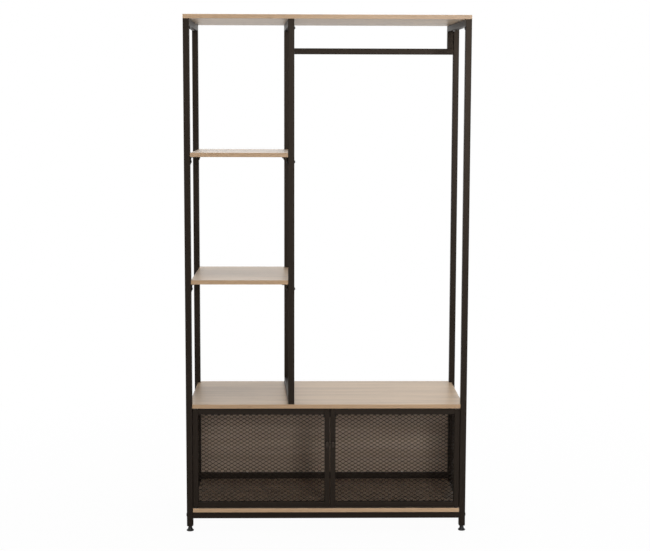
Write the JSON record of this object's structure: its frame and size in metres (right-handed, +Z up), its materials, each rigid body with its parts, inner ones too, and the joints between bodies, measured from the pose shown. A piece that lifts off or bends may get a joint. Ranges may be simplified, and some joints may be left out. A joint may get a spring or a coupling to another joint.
{
  "type": "clothes rack",
  "caption": "Open clothes rack in dark square steel tube with wood boards: a hanging bay, side shelves and a low cabinet with mesh doors.",
  "frame": {"origin": "on the floor, under the middle of the rack's bounding box", "axes": "+Z up, +X to the right seen from the front, +Y to the back; the front with the doors faces -Y"},
  "size_m": [1.004, 0.414, 1.835],
  "materials": {
    "powder_coat": "satin powder coat",
    "mesh": "satin powder coat",
    "pull": "satin powder coat",
    "board": "matte light oak foil",
    "back_panel": "matte light oak foil",
    "foot_plastic": "matte",
    "inner_plastic": "matte",
    "zinc_steel": "zinc plated",
    "black_bolts": "black zinc"
  },
  "bodies": {
    "frame": {"back_panel": "back_panel", "board_screws": "zinc_steel", "bottom_board": "board", "cabinet_top_board": "board", "divider_bottom_rung": "powder_coat", "divider_front_post": "powder_coat", "divider_rear_post": "powder_coat", "divider_top_rung": "powder_coat", "frame_bolts": "black_bolts", "front_bottom_rail": "powder_coat", "front_left_post": "powder_coat", "front_middle_rail": "powder_coat", "front_right_post": "powder_coat", "hanging_rail": "powder_coat", "hanging_rail_riser": "powder_coat", "hinge_bushes": "inner_plastic", "left_bottom_rung": "powder_coat", "left_side_mesh": "mesh", "left_side_panel_frame": "powder_coat", "left_top_rung": "powder_coat", "magnetic_catch": "inner_plastic", "middle_shelf": "board", "post_plugs": "inner_plastic", "rear_bottom_rail": "powder_coat", "rear_left_post": "powder_coat", "rear_middle_rail": "powder_coat", "rear_right_post": "powder_coat", "right_bottom_rung": "powder_coat", "right_side_mesh": "mesh", "right_side_panel_frame": "powder_coat", "right_top_rung": "powder_coat", "shelf_bolts": "black_bolts", "shelf_brackets": "powder_coat", "threaded_inserts": "inner_plastic", "top_board": "board", "upper_shelf": "board"},
    "left_door": {"left_door_bottom_rail": "powder_coat", "left_door_hinge_stile": "powder_coat", "left_door_meeting_stile": "powder_coat", "left_door_mesh": "mesh", "left_door_pins": "zinc_steel", "left_door_pull": "pull", "left_door_strike": "zinc_steel", "left_door_top_rail": "powder_coat"},
    "right_door": {"right_door_bottom_rail": "powder_coat", "right_door_hinge_stile": "powder_coat", "right_door_meeting_stile": "powder_coat", "right_door_mesh": "mesh", "right_door_pins": "zinc_steel", "right_door_pull": "pull", "right_door_strike": "zinc_steel", "right_door_top_rail": "powder_coat"},
    "front_left_foot": {"front_left_foot_pad": "foot_plastic", "front_left_foot_stem": "black_bolts"},
    "front_right_foot": {"front_right_foot_pad": "foot_plastic", "front_right_foot_stem": "black_bolts"},
    "rear_left_foot": {"rear_left_foot_pad": "foot_plastic", "rear_left_foot_stem": "black_bolts"},
    "rear_right_foot": {"rear_right_foot_pad": "foot_plastic", "rear_right_foot_stem": "black_bolts"}
  },
  "joints": [
    {"name": "left_door_hinge", "type": "hinge", "parent": "frame", "child": "left_door", "pos_m": [-0.467, -0.1875, 0.26675], "axis": [0, 0, -1], "range_deg": [0, 100]},
    {"name": "right_door_hinge", "type": "hinge", "parent": "frame", "child": "right_door", "pos_m": [0.467, -0.1875, 0.26675], "axis": [0, 0, 1], "range_deg": [0, 100]},
    {"name": "front_left_foot_screw", "type": "slide", "parent": "frame", "child": "front_left_foot", "axis": [0, 0, 1], "range_m": [-0.012, 0]},
    {"name": "front_right_foot_screw", "type": "slide", "parent": "frame", "child": "front_right_foot", "axis": [0, 0, 1], "range_m": [-0.012, 0]},
    {"name": "rear_left_foot_screw", "type": "slide", "parent": "frame", "child": "rear_left_foot", "axis": [0, 0, 1], "range_m": [-0.012, 0]},
    {"name": "rear_right_foot_screw", "type": "slide", "parent": "frame", "child": "rear_right_foot", "axis": [0, 0, 1], "range_m": [-0.012, 0]}
  ]
}
